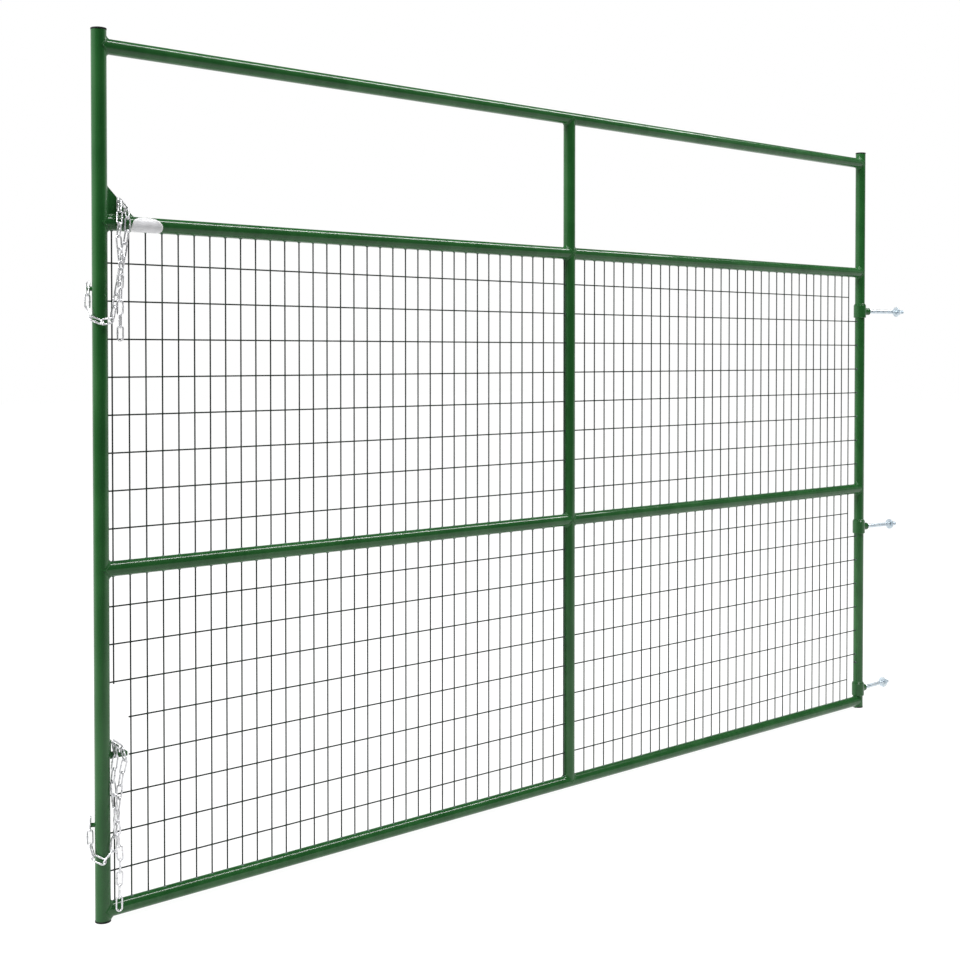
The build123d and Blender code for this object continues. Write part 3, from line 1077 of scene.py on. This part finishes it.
class GATE_OT_fit_label(bpy.types.Operator):
    """Wraps the blank oval label on the mesh rail"""

    bl_idname = "gate.fit_label"
    bl_label = "Fit the label"

    def outline(self, sizes):
        """Places along the rail and turns round it: an oval that is cut off straight at its foot."""
        half_long = spread("name_plate").x / 2
        start = math.asin((sizes.foot - sizes.centre) / sizes.arc)
        turns = [start + (math.pi - 2 * start) * k / OVAL_STEPS for k in range(OVAL_STEPS + 1)]
        oval = [(half_long * math.cos(t), sizes.centre + sizes.arc * math.sin(t)) for t in turns]
        last = oval[-1][0]
        return oval + [(last - 2 * last * k / CUT_STEPS, sizes.foot) for k in range(1, CUT_STEPS)]

    def execute(self, context):
        coats = context.scene.gate_coats
        sizes = context.scene.gate_label
        field = label_film("label_field", coats.label)
        rim = label_film("label_edge", coats.label_rim)
        middle = spot("name_plate").x
        outline = self.outline(sizes)
        hub = (sizes.foot + sizes.centre + sizes.arc) / 2
        proud = sizes.thick + sizes.rim
        tops = [(share, sizes.thick) for share in (0.04, 0.3, 0.6, 0.86)]
        edge = [(0.89, proud), (0.96, proud), (0.99, sizes.thick * 0.8), (1.0, 0.0)]
        backs = [(share, -LABEL_SINK) for share in (1.0, 0.6, 0.3, 0.04)]
        rings = []
        for share, rise in tops + edge + backs:
            reach = TUBE_R + rise
            points = []
            for along, around in outline:
                turn = hub + (around - hub) * share
                out = -reach * math.cos(turn)
                up = RAIL_Z["mesh"] + reach * math.sin(turn)
                points.append(Vector((middle + along * share, out, up)))
            rings.append(points)
        slots = [0] * len(tops) + [1] * (len(edge) + len(backs) - 1)
        stock = Stock().skin(rings, False, slots)
        label = stock.piece("blank_label", [field, rim], "leaf", "plate_metal", sharp=50)
        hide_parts("name_plate")
        return {"FINISHED"}


class GATE_OT_set_stage(bpy.types.Operator):
    """Sets the floor, the lights and the camera"""

    bl_idname = "gate.set_stage"
    bl_label = "Set the stage"

    def lay_floor(self, scene, stage, ahead):
        """A pale floor that glows under the gate and behind it."""
        material, nodes = new_material("studio_floor")
        place = nodes.place()
        mottle = nodes.noise(place, 0.35, 4.0)
        lit = nodes.fade(nodes.along(place, ahead), *FLOOR_LIT)
        nodes.surface(
            {
                "Base Color": nodes.blend(mottle, opaque(stage.floor, 0.97), opaque(stage.floor)),
                "Roughness": 0.75 + 0.1 * mottle,
                "Emission Color": nodes.blend(lit, opaque(FLOOR_DIM), opaque(WHITE)),
                "Emission Strength": stage.glow,
            }
        )
        grid = bmesh.new()
        bmesh.ops.create_grid(grid, x_segments=FLOOR_CELLS, y_segments=FLOOR_CELLS, size=FLOOR_HALF)
        mesh = bpy.data.meshes.new("studio_floor")
        grid.to_mesh(mesh)
        grid.free()
        mesh.materials.append(material)
        floor = bpy.data.objects.new("studio_floor", mesh)
        floor.location = (UPRIGHT_X, 0, cad_box[0].z - FLOOR_DROP)
        scene.collection.objects.link(floor)

    def light_surround(self, scene, stage, ahead):
        """White low behind the gate and to its left, and dark elsewhere."""
        world = bpy.data.worlds.new("studio")
        scene.world = world
        world.use_nodes = True
        sky = Nodes(world.node_tree)
        way = sky.add("ShaderNodeTexCoord", output="Generated")
        behind = sky.fade(sky.along(way, ahead), *BEHIND)
        beside = sky.fade(sky.along(way, Z.cross(ahead)), *BESIDE)
        low = 1 - sky.fade(sky.along(way, Z), *HIGH)
        white = behind * low + BESIDE_SHARE * beside
        surround = sky.blend(white, opaque(stage.near), opaque(stage.far))
        light = sky.add("ShaderNodeBackground", None, {"Color": surround, "Strength": 1.0})
        sky.add("ShaderNodeOutputWorld", None, {"Surface": light})

    def hang_lamp(self, scene, name, place, aim, size, watts):
        """An even rectangle of light, turned to what it is aimed at."""
        light = bpy.data.lights.new(name, "AREA")
        light.shape = "RECTANGLE"
        light.size, light.size_y = size
        light.energy = watts
        lamp = bpy.data.objects.new(name, light)
        lamp.location = place
        lamp.rotation_euler = (Vector(aim) - Vector(place)).to_track_quat("-Z", "Y").to_euler()
        scene.collection.objects.link(lamp)

    def stand_camera(self, scene, stage, ahead):
        """The camera looks ahead, with a small tilt."""
        data = bpy.data.cameras.new("photo_camera")
        data.lens = stage.lens
        data.shift_y = stage.shift
        data.clip_end = SIGHT
        camera = bpy.data.objects.new("photo_camera", data)
        camera.location = stage.stand
        camera.rotation_euler = (ahead + Z * math.tan(stage.pitch)).to_track_quat("-Z", "Y").to_euler()
        scene.collection.objects.link(camera)
        scene.camera = camera

    def execute(self, context):
        scene = context.scene
        stage = scene.gate_stage
        scene.view_settings.view_transform = "Standard"
        ahead = Vector((math.sin(stage.yaw), math.cos(stage.yaw), 0))
        self.lay_floor(scene, stage, ahead)
        self.light_surround(scene, stage, ahead)
        below = (stage.strip[0], 0, stage.aim)
        strip_size = (stage.strip_long, stage.strip_wide)
        self.hang_lamp(scene, "top_strip", stage.strip, below, strip_size, stage.strip_power)
        middle = (UPRIGHT_X, 0, stage.aim)
        side_size = (stage.side_wide, stage.side_wide)
        self.hang_lamp(scene, "high_left", stage.side, middle, side_size, stage.side_power)
        self.stand_camera(scene, stage, ahead)
        return {"FINISHED"}


OPERATORS = (
    GATE_OT_coat_frame,
    GATE_OT_coat_mesh,
    GATE_OT_weld_tubes,
    GATE_OT_weld_plates,
    GATE_OT_weld_hinges,
    GATE_OT_weld_mesh,
    GATE_OT_make_bolts,
    GATE_OT_make_nuts,
    GATE_OT_plate_chains,
    GATE_OT_fit_caps,
    GATE_OT_fit_label,
    GATE_OT_set_stage,
)
GROUPS = {
    "gate_coats": GateCoats,
    "gate_welds": GateWelds,
    "gate_fasteners": GateFasteners,
    "gate_caps": GateCaps,
    "gate_label": GateLabel,
    "gate_stage": GateStage,
}


class GATE_PT_finish(bpy.types.Panel):
    """Lists the steps and settings of the gate's finish"""

    bl_idname = "GATE_PT_finish"
    bl_label = "Deer gate finish"
    bl_space_type = "VIEW_3D"
    bl_region_type = "UI"
    bl_category = "Deer gate"

    def draw(self, context):
        for operator in OPERATORS:
            self.layout.operator(operator.bl_idname)
        for name, group in GROUPS.items():
            box = self.layout.box()
            for size in group.__annotations__:
                box.prop(getattr(context.scene, name), size)


def register():
    for group in GROUPS.values():
        bpy.utils.register_class(group)
    for operator in OPERATORS:
        bpy.utils.register_class(operator)
    bpy.utils.register_class(GATE_PT_finish)
    for name, group in GROUPS.items():
        setattr(bpy.types.Scene, name, PointerProperty(type=group))


def unregister():
    for name in GROUPS:
        delattr(bpy.types.Scene, name)
    bpy.utils.unregister_class(GATE_PT_finish)
    for operator in reversed(OPERATORS):
        bpy.utils.unregister_class(operator)
    for group in GROUPS.values():
        bpy.utils.unregister_class(group)


def main():
    register()
    for operator in OPERATORS:
        group, name = operator.bl_idname.split(".")
        getattr(getattr(bpy.ops, group), name)()


if __name__ == "__main__":
    main()
